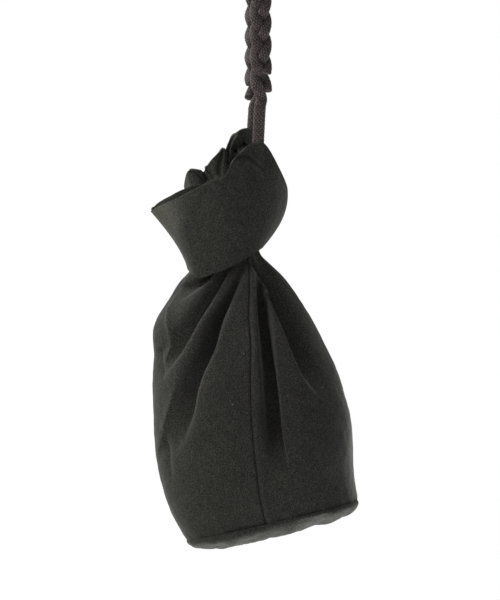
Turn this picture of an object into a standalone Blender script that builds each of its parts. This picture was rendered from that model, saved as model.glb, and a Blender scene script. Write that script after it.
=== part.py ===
"""Knotted shoulder bag of napped cotton cloth, hanging by its plaited cord strap.

The bag is modelled as it hangs: the origin is the point of the strap's loop that rests on
a hook, +Z is up, -Y is the side that shows the front seam. All lengths are in metres.

The body is two cloth panels and a base panel, sewn along seams. Above the neck the back
tie rises as a gathered sleeve, and the front tie wraps the neck like a wide cuff. Each tie
ends at a cord of the strap: three soft cords plaited flat and looped over the hook.
"""

import math

import bpy
import numpy as np
from mathutils import Vector

# Driving sizes of the body, across the view, front to back, and down from the neck.
BODY_WIDTH = 0.158
BODY_DEPTH = 0.122
BODY_HEIGHT = 0.2347
KNOT_LEVEL = 0.1
NECK_WIDTH = 0.0545
NECK_DEPTH = 0.043
BASE_SAG = 0.0095
BASE_EDGE = 0.003
CLOTH = 0.0016
SEAM_ALLOWANCE = 0.006
SEAM_GAP = 0.0003
BASE_GAP = 0.0006
NECK_GAP = 0.0008

# Driving sizes of the knot. Its outline is drawn in units of its own width and depth.
KNOT_WIDTH = 0.0635
KNOT_DEPTH = 0.064
TIE_CLOTH = 0.002

# Driving sizes of the strap.
STRAP_DROP = 0.254
LOOP_RADIUS = 0.035
PLAIT_WIDTH = 0.0175
PLAIT_PITCH = 0.0528
STRAND_WIDTH = 0.0058
STRAND_THICKNESS = 0.0050
STRAND_WAVE = 0.0043
CORD_WIDTH = 0.0085
CORD_THICKNESS = 0.0048
CORD_SETTLE = 0.012
FRONT_CORD_LENGTH = 0.039
BACK_CORD_LENGTH = 0.024
END_GAP = 0.0003

# How far each plain cord leans to the right and out on its way up to the plait, and how
# far the loop's two legs stand off to the side of the hook.
CORD_LEAN = 0.0022
FRONT_CORD_OUT = 0.003
BACK_CORD_OUT = 0.005
LOOP_SKEW = 0.0018

# Where the two shorter cords begin and end, measured inwards from the ends of the plait.
LEFT_CORD_START = 0.012
RIGHT_CORD_STOP = 0.010

# Where each cord starts in the weave, from 0 to 1.
MAIN_PHASE = 0.553
LEFT_PHASE = 0.887
RIGHT_PHASE = 0.22

# The knot's centre, beside and below the hook.
KNOT_X = -0.026
KNOT_Z = -STRAP_DROP

# How finely curved surfaces are divided.
PANEL_COLUMNS = 30
PANEL_ROWS = 20
TIE_COLUMNS = 48
TIE_ROWS = 7
EAR_COLUMNS = 52
EAR_ROWS = 6
BASE_COLUMNS = 48
BASE_RINGS = 4
STRAND_SIDES = 8
STRAND_STEP = 0.0064
SPAN_STEPS = 24
LOOP_STEPS = 8

# The body's shape by level, from inside the knot at 0 to the base seam at 1. Each row has
# the level, the centre's distance across from the knot in body widths, how far the width
# and the depth have opened from neck to body, the slope of the level in degrees, and how
# square the section is.
LEVELS = (
    (0.00, 0.000, -0.05, -0.05, 15.3, 2.0),
    (0.10, 0.003, 0.00, 0.00, 14.3, 2.0),
    (0.125, 0.000, 0.06, 0.01, 13.4, 2.0),
    (0.15, -0.004, 0.17, 0.04, 12.5, 2.0),
    (0.20, 0.004, 0.352, 0.20, 10.9, 2.1),
    (0.30, 0.013, 0.630, 0.46, 9.1, 2.2),
    (0.40, 0.056, 0.758, 0.67, 9.0, 2.3),
    (0.50, 0.086, 0.876, 0.84, 8.9, 2.4),
    (0.60, 0.114, 0.964, 0.95, 9.0, 2.5),
    (0.70, 0.140, 1.000, 1.00, 9.5, 2.6),
    (0.80, 0.156, 0.985, 1.00, 10.2, 2.7),
    (0.90, 0.184, 0.928, 0.96, 11.3, 2.8),
    (1.00, 0.237, 0.828, 0.88, 12.9, 3.0),
)

# Where the body's cloth turns in at the seams, it takes at most this share of the depth.
ALLOWANCE_SHARE = 0.22

# The base's dish: how its rings close towards the middle, how flat its middle is, and how
# round its rim is.
RING_SPREAD = 1.6
DISH_FLATNESS = 5
DISH_ROUNDNESS = 0.6

# Where the two panels meet: the share of the way from the left edge to the right edge at
# each level, for the front seam and for the back seam.
FRONT_SEAM = (
    (0.0, 0.80),
    (0.13, 0.80),
    (0.26, 0.67),
    (0.39, 0.585),
    (0.52, 0.535),
    (0.68, 0.50),
    (1.0, 0.47),
)
BACK_SEAM = ((0.0, 0.35), (0.3, 0.42), (1.0, 0.52))


class Fold:
    """A valley or ridge pressed into the body along a path over its front or back.

    The path is given as (share across, level) points. Height is positive for a ridge and
    negative for a valley, and it fades to nothing at both ends of the path.
    """

    def __init__(self, side, path, width, height, fade_in=0.15, fade_out=0.35):
        self.side = side
        self.across = [point[0] for point in path]
        self.levels = [point[1] for point in path]
        self.width = width
        self.height = height
        self.fade_in = fade_in
        self.fade_out = fade_out

    def lift(self, side, across, level, width_here):
        """How far the surface stands out at a point, in metres."""
        if side != self.side or not self.levels[0] < level < self.levels[-1]:
            return 0.0
        centre = np.interp(level, self.levels, self.across)
        along = (level - self.levels[0]) / (self.levels[-1] - self.levels[0])
        fade = smooth(along / self.fade_in) * smooth((1.0 - along) / self.fade_out)
        offset = (across - centre) * width_here / self.width
        return self.height * fade * math.exp(-offset * offset)


def smooth(share):
    """An even step from 0 to 1."""
    share = min(1.0, max(0.0, share))
    return share * share * (3.0 - 2.0 * share)


FRONT, BACK = -1, 1
FOLD_WIDTH = 0.0075
FOLD_DEPTH = 0.0068

VALLEY_BY_SEAM = ((0.80, 0.10), (0.74, 0.24), (0.685, 0.38), (0.63, 0.52), (0.60, 0.68), (0.63, 0.80))
RIDGE_ON_RIGHT = ((0.84, 0.12), (0.82, 0.24), (0.795, 0.35), (0.79, 0.44), (0.81, 0.50), (0.86, 0.60))
HOLLOW_ON_RIGHT = ((0.92, 0.10), (0.90, 0.24), (0.885, 0.36), (0.89, 0.48), (0.93, 0.62))
VALLEY_TO_MIDDLE = ((0.74, 0.10), (0.56, 0.215), (0.49, 0.285), (0.38, 0.374), (0.295, 0.44), (0.22, 0.54))
VALLEY_TO_LEFT = ((0.60, 0.10), (0.44, 0.19), (0.36, 0.234), (0.30, 0.294), (0.19, 0.36), (0.05, 0.48))
VALLEY_ON_SHOULDER = ((0.42, 0.10), (0.34, 0.15), (0.24, 0.21), (0.10, 0.27))
HOLLOW_LOW_LEFT = ((0.245, 0.55), (0.177, 0.65), (0.097, 0.72), (0.02, 0.80))

FOLDS = (
    Fold(FRONT, VALLEY_BY_SEAM, FOLD_WIDTH, -FOLD_DEPTH),
    Fold(FRONT, RIDGE_ON_RIGHT, 1.2 * FOLD_WIDTH, 0.8 * FOLD_DEPTH),
    Fold(FRONT, HOLLOW_ON_RIGHT, FOLD_WIDTH, -0.8 * FOLD_DEPTH),
    Fold(FRONT, VALLEY_TO_MIDDLE, FOLD_WIDTH, -FOLD_DEPTH),
    Fold(FRONT, VALLEY_TO_LEFT, FOLD_WIDTH, -FOLD_DEPTH),
    Fold(FRONT, VALLEY_ON_SHOULDER, 0.7 * FOLD_WIDTH, -0.7 * FOLD_DEPTH),
    Fold(FRONT, HOLLOW_LOW_LEFT, FOLD_WIDTH, -0.4 * FOLD_DEPTH),
    Fold(BACK, ((0.35, 0.10), (0.42, 0.25), (0.48, 0.40), (0.50, 0.70)), FOLD_WIDTH, -0.8 * FOLD_DEPTH),
    Fold(BACK, ((0.20, 0.10), (0.22, 0.25), (0.20, 0.40), (0.13, 0.60)), FOLD_WIDTH, -FOLD_DEPTH),
    Fold(BACK, ((0.55, 0.10), (0.66, 0.25), (0.76, 0.40), (0.86, 0.60)), FOLD_WIDTH, -FOLD_DEPTH),
    Fold(BACK, ((0.75, 0.10), (0.82, 0.22), (0.90, 0.36), (0.97, 0.50)), FOLD_WIDTH, -0.8 * FOLD_DEPTH),
)

# Small even gathers around the neck, which fade out below the knot.
GATHERS = 13
GATHER_DEPTH = 0.0012
GATHER_END = 0.34

# The front tie, column by column around the neck from its folded left edge, over the
# front and round the right side to the back. Each column has the lower edge, a point that
# it bows towards and the upper edge, as (across, up, depth): knot widths from the knot's
# centre, and half knot depths, where minus is the front.
FRONT_TIE = (
    ((-0.485, -0.14, 0.00), (-0.53, 0.09, 0.00), (-0.94, 0.56, 0.00)),
    ((-0.43, -0.22, -0.66), (-0.50, 0.08, -0.48), (-0.82, 0.63, -0.20)),
    ((-0.32, -0.28, -0.93), (-0.45, 0.14, -0.85), (-0.62, 0.72, -0.52)),
    ((-0.14, -0.22, -1.03), (-0.26, 0.27, -1.15), (-0.38, 0.85, -0.90)),
    ((0.04, -0.15, -1.04), (0.01, 0.39, -1.28), (-0.17, 0.95, -1.06)),
    ((0.20, -0.07, -0.97), (0.22, 0.48, -1.26), (-0.02, 0.99, -1.03)),
    ((0.28, -0.02, -0.88), (0.36, 0.65, -1.22), (0.14, 1.22, -0.85)),
    ((0.33, 0.02, -0.80), (0.46, 0.65, -1.08), (0.33, 1.42, -0.70)),
    ((0.40, 0.06, -0.62), (0.62, 0.62, -0.90), (0.49, 1.42, -0.68)),
    ((0.45, 0.09, -0.36), (0.75, 0.56, -0.60), (0.64, 1.20, -0.50)),
    ((0.475, 0.12, 0.00), (0.81, 0.48, 0.00), (0.76, 0.90, -0.05)),
    ((0.42, 0.13, 0.55), (0.69, 0.43, 0.60), (0.67, 0.71, 0.60)),
    ((0.18, 0.08, 0.95), (0.25, 0.36, 1.10), (0.25, 0.66, 1.02)),
    ((-0.14, -0.02, 0.97), (-0.22, 0.26, 1.05), (-0.26, 0.63, 0.98)),
    ((-0.42, -0.11, 0.62), (-0.50, 0.13, 0.52), (-0.72, 0.60, 0.40)),
)

# Where the middle of each cord meets its tie, in the same units.
FRONT_CORD_AT = (0.41, 1.42, -0.69)
BACK_CORD_AT = (0.34, 1.60, 0.05)

# The back tie's upper edge, from its left pleat to the crest under the back cord and
# round behind, in the same units. The pleats stand one behind the other like a fan.
BACK_TIE_TOP = (
    (-0.52, 0.87, 0.20),
    (-0.47, 1.07, -0.20),
    (-0.40, 1.09, -0.28),
    (-0.31, 1.07, 0.22),
    (-0.26, 1.00, 0.36),
    (-0.21, 1.17, -0.12),
    (-0.10, 1.30, -0.42),
    (-0.01, 1.37, 0.02),
    (0.03, 1.31, 0.34),
    (0.06, 1.46, -0.05),
    (0.14, 1.56, -0.35),
    (0.26, 1.61, -0.22),
    (0.41, 1.59, 0.15),
    (0.34, 1.56, 0.58),
    (-0.01, 1.31, 0.74),
    (-0.32, 1.04, 0.72),
    (-0.47, 0.88, 0.52),
)


def table_at(table, level, column):
    """One column of a table by level, read smoothly between its rows."""
    rows = np.array([row[0] for row in table])
    values = np.array([row[column] for row in table])
    slopes = np.gradient(values, rows)
    index = int(np.clip(np.searchsorted(rows, level) - 1, 0, len(rows) - 2))
    span = rows[index + 1] - rows[index]
    share = (level - rows[index]) / span
    square, cube = share * share, share * share * share
    return (
        (2 * cube - 3 * square + 1) * values[index]
        + (cube - 2 * square + share) * span * slopes[index]
        + (3 * square - 2 * cube) * values[index + 1]
        + (cube - square) * span * slopes[index + 1]
    )


class Level:
    """The body's section at one level: an oval in a plane that slopes up to the right."""

    def __init__(self, level):
        opened_width = table_at(LEVELS, level, 2)
        opened_depth = table_at(LEVELS, level, 3)
        slope = math.radians(table_at(LEVELS, level, 4))
        self.level = level
        self.width = NECK_WIDTH + (BODY_WIDTH - NECK_WIDTH) * opened_width
        self.depth = NECK_DEPTH + (BODY_DEPTH - NECK_DEPTH) * opened_depth
        self.square = table_at(LEVELS, level, 5)
        self.across = Vector((math.cos(slope), 0.0, math.sin(slope)))
        centre_x = KNOT_X + table_at(LEVELS, level, 1) * BODY_WIDTH
        self.centre = Vector((centre_x, 0.0, KNOT_Z + BODY_HEIGHT * (KNOT_LEVEL - level)))

    def angle_at(self, share):
        """The angle whose point lies this share of the way across, on the front."""
        cosine = 1.0 - 2.0 * share
        power = self.square / 2.0
        return math.acos(math.copysign(abs(cosine) ** power, cosine))

    def point(self, angle, inset=0.0, folds=True):
        """A point of the section: angle 0 is the left edge and a quarter turn the front."""
        cosine, sine = math.cos(angle), math.sin(angle)
        power = 2.0 / self.square
        along = math.copysign(abs(cosine) ** power, cosine)
        out = math.copysign(abs(sine) ** power, sine)
        half_width, half_depth = self.width / 2.0, self.depth / 2.0
        normal = -self.across * cosine / half_width + Vector((0.0, -sine / half_depth, 0.0))
        normal.normalize()
        place = self.centre - self.across * half_width * along + Vector((0.0, -half_depth * out, 0.0))
        lift = -inset
        if folds:
            side = FRONT if sine >= 0.0 else BACK
            share = (1.0 - along) / 2.0
            edge = smooth(abs(out) / 0.5)
            for fold in FOLDS:
                lift += edge * fold.lift(side, share, self.level, self.width)
            fade = smooth((GATHER_END - self.level) / GATHER_END)
            lift += GATHER_DEPTH * fade * math.cos(GATHERS * angle) - GATHER_DEPTH * fade
        return place + normal * lift


def new_material(name, colour, roughness, metallic=0.0):
    """A plain material of one colour."""
    material = bpy.data.materials.new(name)
    material.use_nodes = True
    shader = material.node_tree.nodes["Principled BSDF"]
    shader.inputs["Base Color"].default_value = (*colour, 1.0)
    shader.inputs["Roughness"].default_value = roughness
    shader.inputs["Metallic"].default_value = metallic
    return material


def add_mesh(name, points, faces, material, parent):
    """A named object with these points and faces, shaded smooth."""
    mesh = bpy.data.meshes.new(name)
    mesh.from_pydata([tuple(point) for point in points], [], faces)
    mesh.shade_smooth()
    mesh.materials.append(material)
    part = bpy.data.objects.new(name, mesh)
    bpy.context.scene.collection.objects.link(part)
    part.parent = parent
    return part


def grid_faces(rows, columns, closed):
    """Four-sided faces over a grid of points, joined round its end where it is closed."""
    faces = []
    steps = columns if closed else columns - 1
    for row in range(rows - 1):
        for column in range(steps):
            after = (column + 1) % columns
            start, below = row * columns, (row + 1) * columns
            faces.append((start + column, below + column, below + after, start + after))
    return faces


def thicken(part, thickness):
    """Gives a sheet its wall, inwards from its face."""
    solid = part.modifiers.new("wall", "SOLIDIFY")
    solid.thickness = thickness
    solid.offset = -1.0
    solid.use_even_offset = False
    return part


def inwards(angle):
    """The direction from the front or the back of the body to its middle."""
    return Vector((0.0, math.copysign(1.0, math.sin(angle)), 0.0))


def make_panel(name, start_angle, end_angle, material, parent):
    """A body panel from one seam round an edge to the other, with turned-in seam edges."""
    points = []
    for row in range(PANEL_ROWS + 1):
        level = Level(row / PANEL_ROWS)
        start, end = start_angle(level), end_angle(level)
        first, last = level.point(start), level.point(end)
        allowance = min(SEAM_ALLOWANCE, ALLOWANCE_SHARE * level.depth)
        points.append(first + inwards(start) * allowance)
        for column in range(PANEL_COLUMNS + 1):
            share = column / PANEL_COLUMNS
            points.append(level.point(start + (end - start) * share))
        points.append(last + inwards(end) * allowance)
    columns = PANEL_COLUMNS + 3
    part = add_mesh(name, points, grid_faces(PANEL_ROWS + 1, columns, False), material, parent)
    return thicken(part, CLOTH)


def seam_angle(level, table, side, shift):
    """The angle of a seam on the front or back, moved across by a distance."""
    share = np.interp(level.level, [row[0] for row in table], [row[1] for row in table])
    angle = level.angle_at(float(share) + shift / level.width)
    return angle if side == FRONT else 2.0 * math.pi - angle


def make_base(material, parent):
    """The base panel: a shallow dish sewn to the lower edge of both panels."""
    rim = Level(1.0)
    drop = Vector((rim.across.z, 0.0, -rim.across.x))
    points = []
    rings = [(1.0, 0.0), (1.0, BASE_EDGE)]
    for ring in range(1, BASE_RINGS):
        share = 1.0 - (ring / BASE_RINGS) ** RING_SPREAD
        fall = (1.0 - share**DISH_FLATNESS) ** DISH_ROUNDNESS
        rings.append((share, BASE_EDGE + (BASE_SAG - BASE_EDGE) * fall))
    for share, sag in rings:
        for column in range(BASE_COLUMNS):
            edge = rim.point(2.0 * math.pi * column / BASE_COLUMNS) - rim.centre
            points.append(rim.centre + edge * share + drop * (BASE_GAP + sag))
    points.append(rim.centre + drop * (BASE_GAP + BASE_SAG))
    faces = grid_faces(len(rings), BASE_COLUMNS, True)
    start = (len(rings) - 1) * BASE_COLUMNS
    tip = len(points) - 1
    for column in range(BASE_COLUMNS):
        faces.append((start + column, tip, start + (column + 1) % BASE_COLUMNS))
    return thicken(add_mesh("base_panel", points, faces, material, parent), CLOTH)


def knot_point(across, up, depth):
    """A place in the knot, from its share of the knot's width and half depth."""
    return Vector((KNOT_X + across * KNOT_WIDTH, depth * KNOT_DEPTH / 2.0, KNOT_Z + up * KNOT_WIDTH))


def round_loop(corners, count):
    """Evenly numbered points of a smooth closed line through the corners."""
    total = len(corners)
    line = []
    for index in range(count):
        place = index * total / count
        corner = int(place)
        share = place - corner
        before, here, after, beyond = (corners[(corner + step) % total] for step in (-1, 0, 1, 2))
        line.append(
            0.5
            * (
                2.0 * here
                + (after - before) * share
                + (2.0 * before - 5.0 * here + 4.0 * after - beyond) * share**2
                + (3.0 * here - before - 3.0 * after + beyond) * share**3
            )
        )
    return line


def make_front_tie(material, parent):
    """The wide tie that wraps the neck and tapers up to the front cord."""
    lower, bow, upper = ([knot_point(*column[row]) for column in FRONT_TIE] for row in range(3))
    lower, bow, upper = (round_loop(edge, TIE_COLUMNS) for edge in (lower, bow, upper))
    points = []
    for row in range(TIE_ROWS + 1):
        share = 1.0 - row / TIE_ROWS
        for low, middle, high in zip(lower, bow, upper):
            points.append(low * (1 - share) ** 2 + middle * 2 * share * (1 - share) + high * share**2)
    faces = grid_faces(TIE_ROWS + 1, TIE_COLUMNS, True)
    return thicken(add_mesh("front_tie", points, faces, material, parent), TIE_CLOTH)


def make_back_tie(material, parent):
    """The gathered tie that rises out of the neck, pleated up to the back cord."""
    rim = Level(0.0)
    up = Vector((-rim.across.z, 0.0, rim.across.x))
    angles = [2.0 * math.pi * column / EAR_COLUMNS for column in range(EAR_COLUMNS)]
    lower = [rim.point(angle) + up * NECK_GAP for angle in angles]
    upper = round_loop([knot_point(*corner) for corner in BACK_TIE_TOP], EAR_COLUMNS)
    points = []
    for row in range(EAR_ROWS + 1):
        share = 1.0 - row / EAR_ROWS
        lean = smooth(share)
        for low, high in zip(lower, upper):
            place = low.lerp(high, share)
            place.y = low.y + (high.y - low.y) * lean
            points.append(place)
    faces = grid_faces(EAR_ROWS + 1, EAR_COLUMNS, True)
    return thicken(add_mesh("back_tie", points, faces, material, parent), CLOTH)


def crest(corners):
    """The height of a tie's upper edge where it is highest."""
    return max(point.z for point in round_loop(corners, TIE_COLUMNS))


class StrapRoute:
    """The plait's middle line: up from the front tie, over the hook, down to the back tie."""

    def __init__(self):
        front_end = knot_point(*FRONT_CORD_AT)
        back_end = knot_point(*BACK_CORD_AT)
        front_end.z = crest([knot_point(*column[2]) for column in FRONT_TIE]) + END_GAP
        back_end.z = crest([knot_point(*corner) for corner in BACK_TIE_TOP]) + END_GAP
        half_depth = STRAND_WAVE + STRAND_THICKNESS / 2.0
        join_front = front_end + Vector((CORD_LEAN, -FRONT_CORD_OUT, FRONT_CORD_LENGTH))
        join_back = back_end + Vector((CORD_LEAN, BACK_CORD_OUT, BACK_CORD_LENGTH))
        loop = []
        for step in range(LOOP_STEPS + 1):
            angle = math.pi * step / LOOP_STEPS
            height = half_depth - LOOP_RADIUS + LOOP_RADIUS * math.sin(angle)
            loop.append(Vector((LOOP_SKEW * math.cos(angle), -LOOP_RADIUS * math.cos(angle), height)))
        line = [front_end, front_end.lerp(join_front, 0.5), join_front]
        line += [join_front.lerp(loop[0], share) for share in (0.35, 0.7)]
        line += loop
        line += [loop[-1].lerp(join_back, share) for share in (0.3, 0.65)]
        line += [join_back, join_back.lerp(back_end, 0.5), back_end]
        self.points = open_line(line, SPAN_STEPS)
        steps = [(b - a).length for a, b in zip(self.points, self.points[1:])]
        self.lengths = np.concatenate([[0.0], np.cumsum(steps)])
        self.total = float(self.lengths[-1])
        self.front_join = (join_front - front_end).length
        self.back_join = self.total - (join_back - back_end).length

    def at(self, length):
        """The middle line's place and outward direction at a length along it."""
        reach = STRAND_STEP / 3.0
        ahead = self.place(min(self.total, length + reach))
        behind = self.place(max(0.0, length - reach))
        outward = Vector((1.0, 0.0, 0.0)).cross(ahead - behind).normalized()
        return self.place(length), outward

    def place(self, length):
        """The middle line's place at a length along it."""
        axes = zip(*self.points)
        return Vector([float(np.interp(length, self.lengths, axis)) for axis in axes])


def open_line(corners, steps):
    """A smooth open line through the corners, with this many points for each span."""
    ends = [corners[0] * 2.0 - corners[1], *corners, corners[-1] * 2.0 - corners[-2]]
    line = []
    for before, here, after, beyond in zip(ends, ends[1:], ends[2:], ends[3:]):
        for step in range(steps):
            share = step / steps
            line.append(
                0.5
                * (
                    2.0 * here
                    + (after - before) * share
                    + (2.0 * before - 5.0 * here + 4.0 * after - beyond) * share**2
                    + (3.0 * here - before - 3.0 * after + beyond) * share**3
                )
            )
    line.append(corners[-1])
    return line


def make_strand(name, route, phase, start, end, material, parent):
    """One cord of the plait, oval in section, swept along its weave from start to end.

    Where it runs on past the plait it straightens and widens to the plain cord that is
    sewn to a tie.
    """
    count = max(4, round((end - start) / STRAND_STEP))
    sway = (PLAIT_WIDTH - STRAND_WIDTH) / 2.0
    centres, halves = [], []
    for index in range(count + 1):
        length = start + (end - start) * index / count
        place, outward = route.at(length)
        woven = smooth((length - route.front_join + CORD_SETTLE) / CORD_SETTLE)
        woven *= smooth((route.back_join + CORD_SETTLE - length) / CORD_SETTLE)
        turn = 2.0 * math.pi * ((length - route.front_join) / PLAIT_PITCH + phase)
        sideways = Vector((1.0, 0.0, 0.0)) * sway * math.sin(turn) * woven
        centres.append(place + sideways + outward * STRAND_WAVE * math.sin(2.0 * turn) * woven)
        half_width = (CORD_WIDTH + (STRAND_WIDTH - CORD_WIDTH) * woven) / 2.0
        half_thickness = (CORD_THICKNESS + (STRAND_THICKNESS - CORD_THICKNESS) * woven) / 2.0
        halves.append((half_width, half_thickness, outward))
    points = []
    for index, (centre, (half_width, half_thickness, outward)) in enumerate(zip(centres, halves)):
        ahead = centres[min(index + 1, count)] - centres[max(index - 1, 0)]
        thin = (outward - ahead.normalized() * outward.dot(ahead.normalized())).normalized()
        wide = ahead.cross(thin).normalized()
        for side in range(STRAND_SIDES):
            angle = 2.0 * math.pi * (side + 0.5) / STRAND_SIDES
            across = wide * half_width * math.cos(angle)
            points.append(centre + across + thin * half_thickness * math.sin(angle))
    faces = grid_faces(count + 1, STRAND_SIDES, True)
    last = count * STRAND_SIDES
    faces.append(tuple(range(STRAND_SIDES)))
    faces.append(tuple(last + side for side in reversed(range(STRAND_SIDES))))
    return add_mesh(name, points, faces, material, parent)


def main():
    """Builds every piece of the bag."""
    for leftover in list(bpy.data.objects):
        bpy.data.objects.remove(leftover)
    cloth = new_material("napped_cotton", (0.030, 0.031, 0.028), 0.95)
    cord = new_material("braided_cotton_cord", (0.042, 0.036, 0.037), 0.85)
    bag = bpy.data.objects.new("bag", None)
    bpy.context.scene.collection.objects.link(bag)

    half_gap = SEAM_GAP / 2.0

    def front_left(level):
        return seam_angle(level, FRONT_SEAM, FRONT, -half_gap)

    def front_right(level):
        return seam_angle(level, FRONT_SEAM, FRONT, half_gap)

    def back_left(level):
        return seam_angle(level, BACK_SEAM, BACK, -half_gap) - 2.0 * math.pi

    def back_right(level):
        return seam_angle(level, BACK_SEAM, BACK, half_gap)

    make_panel("left_panel", back_left, front_left, cloth, bag)
    make_panel("right_panel", front_right, back_right, cloth, bag)
    make_base(cloth, bag)
    make_front_tie(cloth, bag)
    make_back_tie(cloth, bag)

    route = StrapRoute()
    make_strand("strap_cord_main", route, MAIN_PHASE, 0.0, route.total, cord, bag)
    left_start = route.front_join + LEFT_CORD_START
    make_strand("strap_cord_left", route, LEFT_PHASE, left_start, route.back_join, cord, bag)
    right_stop = route.back_join - RIGHT_CORD_STOP
    make_strand("strap_cord_right", route, RIGHT_PHASE, route.front_join, right_stop, cord, bag)


main()
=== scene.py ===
"""Looks of the knotted shoulder bag, dressed over its packed construction model.

The bag hangs by its plaited strap. Its cloth is brushed cotton with a short nap, and its
strap is plaited from soft braided cotton cord. All lengths are in metres.
"""

import logging
import math
from collections.abc import Callable, Sequence
from dataclasses import dataclass
from enum import Enum

import bpy
import numpy as np
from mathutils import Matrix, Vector


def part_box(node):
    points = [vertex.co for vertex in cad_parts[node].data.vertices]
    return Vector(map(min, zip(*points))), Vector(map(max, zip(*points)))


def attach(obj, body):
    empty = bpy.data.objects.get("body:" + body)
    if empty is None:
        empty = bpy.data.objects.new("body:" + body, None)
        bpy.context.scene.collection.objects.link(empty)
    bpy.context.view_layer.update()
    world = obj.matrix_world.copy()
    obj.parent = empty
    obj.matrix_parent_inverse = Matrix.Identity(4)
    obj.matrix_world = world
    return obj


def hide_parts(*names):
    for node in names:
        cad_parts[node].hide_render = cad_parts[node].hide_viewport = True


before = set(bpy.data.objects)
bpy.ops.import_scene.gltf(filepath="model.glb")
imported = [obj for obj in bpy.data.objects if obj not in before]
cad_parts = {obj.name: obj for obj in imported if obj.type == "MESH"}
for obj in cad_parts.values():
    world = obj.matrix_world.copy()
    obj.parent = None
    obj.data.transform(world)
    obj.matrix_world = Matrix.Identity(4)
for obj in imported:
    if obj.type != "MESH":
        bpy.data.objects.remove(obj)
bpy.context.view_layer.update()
LOG = logging.getLogger("shoulder_bag")

# The middle of the gathered neck, which the body hangs from and the ties wrap.
NECK = Vector((-0.026, 0.0, -0.254))

# One number for each point, and one place for each point.
Values = np.ndarray
Points = np.ndarray
Place = Callable[[Values, Values], Points]
Waves = tuple[tuple[float, float, int], ...]
Tree = bpy.types.NodeTree
Piece = bpy.types.Object
Finish = bpy.types.Material


class Side(Enum):
    """Which face of the body a fold lies on."""

    FRONT = -1
    BACK = 1


def linear(hex_colour: str) -> tuple[float, float, float, float]:
    """Turns an sRGB hex colour to linear light.

    Args:
        hex_colour: A colour such as "#34342f".

    Returns:
        Red, green, blue and alpha, each from 0 to 1.
    """
    channels = [int(hex_colour[start : start + 2], 16) / 255 for start in (1, 3, 5)]
    light = [c / 12.92 if c <= 0.04045 else ((c + 0.055) / 1.055) ** 2.4 for c in channels]
    return light[0], light[1], light[2], 1.0


def feed_node(tree: Tree, node: bpy.types.Node, feeds: dict) -> None:
    """Sets or links a node's inputs.

    Args:
        tree: The node tree that the node is in.
        node: The node.
        feeds: Input name or number to a value, or to the socket that feeds it.
    """
    for name, value in feeds.items():
        if isinstance(value, bpy.types.NodeSocket):
            tree.links.new(value, node.inputs[name])
        else:
            node.inputs[name].default_value = value


def add_node(
    tree: Tree, kind: str, feeds: dict | None = None, stops: Sequence[tuple[float, str]] = (), **settings
) -> bpy.types.Node:
    """Adds a node with its settings, and sets or links its inputs.

    Args:
        tree: The node tree that the node joins.
        kind: The node's type.
        feeds: Input name or number to a value, or to the socket that feeds it.
        stops: For a colour ramp, places from 0 to 1 with their hex colours.
        settings: The node's own properties.

    Returns:
        The new node.
    """
    node = tree.nodes.new(kind)
    for name, value in settings.items():
        setattr(node, name, value)
    feed_node(tree, node, feeds or {})
    for number, (place, colour) in enumerate(stops):
        elements = node.color_ramp.elements
        element = elements[number] if number < len(elements) else elements.new(place)
        element.position = place
        element.color = linear(colour)
    return node


def new_finish(name: str) -> tuple[Finish, Tree, bpy.types.Node]:
    """Makes a material.

    Args:
        name: The material's name.

    Returns:
        The material, its node tree and its shader.
    """
    material = bpy.data.materials.new(name)
    material.use_nodes = True
    return material, material.node_tree, material.node_tree.nodes["Principled BSDF"]


def soft_step(share: Values | float) -> Values | float:
    """An even step from 0 to 1."""
    share = np.clip(share, 0.0, 1.0)
    return share * share * (3.0 - 2.0 * share)


def bell(offset: Values, reach: float) -> Values:
    """A bump that is 1 in the middle and nearly gone at twice its reach."""
    return np.exp(-((offset / reach) ** 2))


def unit(vectors: Points) -> Points:
    """The directions of some vectors."""
    return vectors / np.linalg.norm(vectors, axis=1, keepdims=True)


def run_of(line: Points) -> Values:
    """The length along a line at each of its points."""
    return np.concatenate([[0], np.cumsum(np.linalg.norm(np.diff(line, axis=0), axis=1))])


def read_line(line: Points, run: Values, spots: Values) -> Points:
    """The points of a line at some lengths, where run holds the lengths at its own points."""
    return np.stack([np.interp(spots, run, line[:, axis]) for axis in range(3)], axis=-1)


def read_table(table: Sequence[Sequence[float]], level: Values, column: int) -> Values:
    """Reads one column of a table by level, smoothly between its rows.

    Args:
        table: Rows that start with their level.
        level: The levels to read at.
        column: Which value of a row to read.

    Returns:
        The value at each level.
    """
    rows = np.array([row[0] for row in table])
    values = np.array([row[column] for row in table])
    slopes = np.gradient(values, rows)
    index = np.clip(np.searchsorted(rows, level) - 1, 0, len(rows) - 2)
    span = rows[index + 1] - rows[index]
    share = (level - rows[index]) / span
    square, cube = share**2, share**3
    return (
        (2 * cube - 3 * square + 1) * values[index]
        + (cube - 2 * square + share) * span * slopes[index]
        + (3 * square - 2 * cube) * values[index + 1]
        + (cube - square) * span * slopes[index + 1]
    )


def smooth_line(corners: Sequence[Sequence[float]], place: Values, closed: bool) -> Points:
    """Reads a smooth line through corners.

    Args:
        corners: The points that the line passes.
        place: Where to read, counted in corners from the first.
        closed: Whether the line runs on from its last corner to its first.

    Returns:
        A point for each place.
    """
    points = np.array(corners, dtype=float)
    total = len(points)
    if closed:
        index = np.floor(place).astype(int)
        share = (place - index)[..., None]
        before, here, after, beyond = (points[(index + step) % total] for step in (-1, 0, 1, 2))
    else:
        points = np.vstack([2 * points[0] - points[1], points, 2 * points[-1] - points[-2]])
        index = np.clip(np.floor(place).astype(int), 0, total - 2)
        share = (place - index)[..., None]
        before, here, after, beyond = (points[index + step] for step in range(4))
    return 0.5 * (
        2 * here
        + (after - before) * share
        + (2 * before - 5 * here + 4 * after - beyond) * share**2
        + (3 * here - before - 3 * after + beyond) * share**3
    )


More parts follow.
